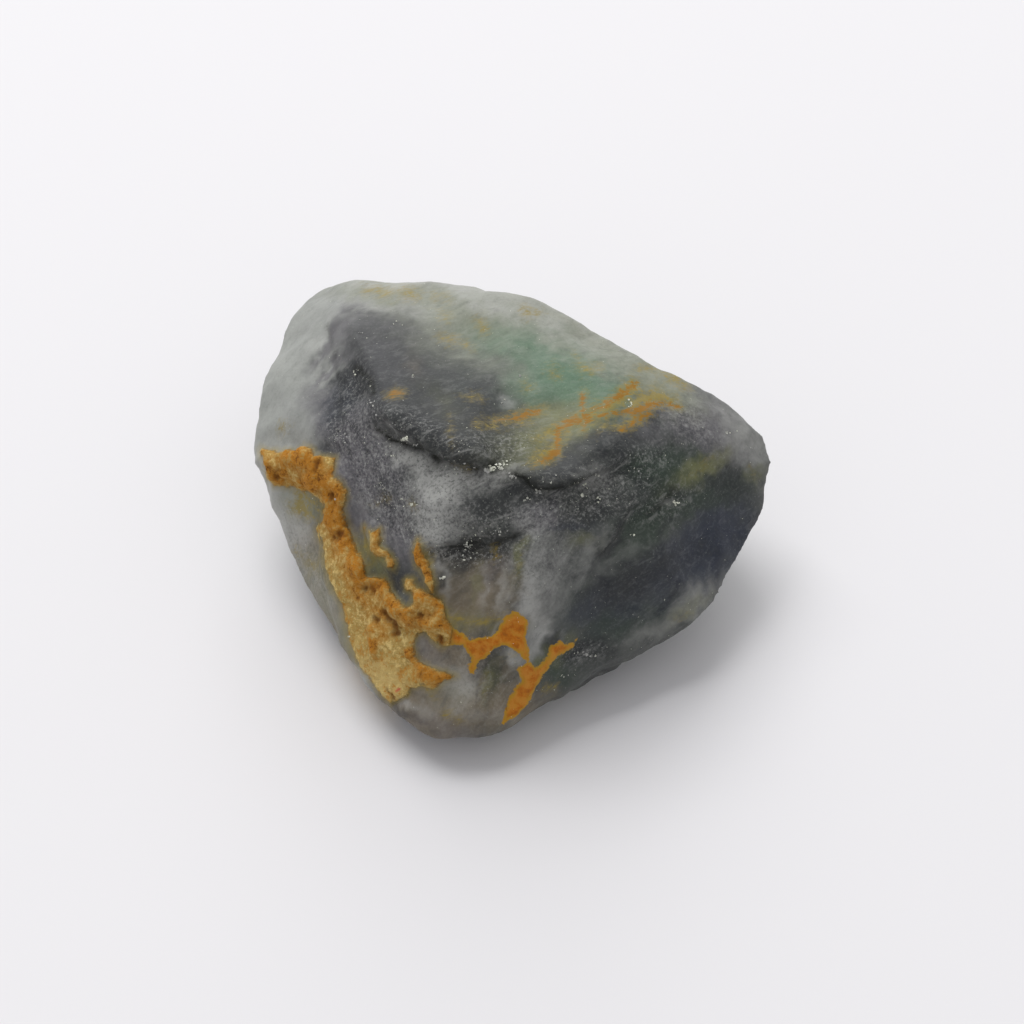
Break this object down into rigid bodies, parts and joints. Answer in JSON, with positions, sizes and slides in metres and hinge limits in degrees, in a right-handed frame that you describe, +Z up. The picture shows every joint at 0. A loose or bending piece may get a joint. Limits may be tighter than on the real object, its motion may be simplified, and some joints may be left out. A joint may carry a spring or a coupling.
{
  "type": "raw fluorite",
  "caption": "Rough piece of cloudy grey-green fluorite with a raised rusty iron crust, resting on a flat fracture face.",
  "frame": {"origin": "on the surface that the stone rests on, under the middle of its outline", "axes": "+Z up, +X along the stone's length towards its right tip, +Y from the crusted front to the back"},
  "size_m": [0.046, 0.0428, 0.0239],
  "materials": {
    "fluorite": "worn satin, cloudy grey, green and slate, with a rough orange iron crust"
  },
  "bodies": {
    "root": {"fluorite": "fluorite"}
  },
  "joints": []
}
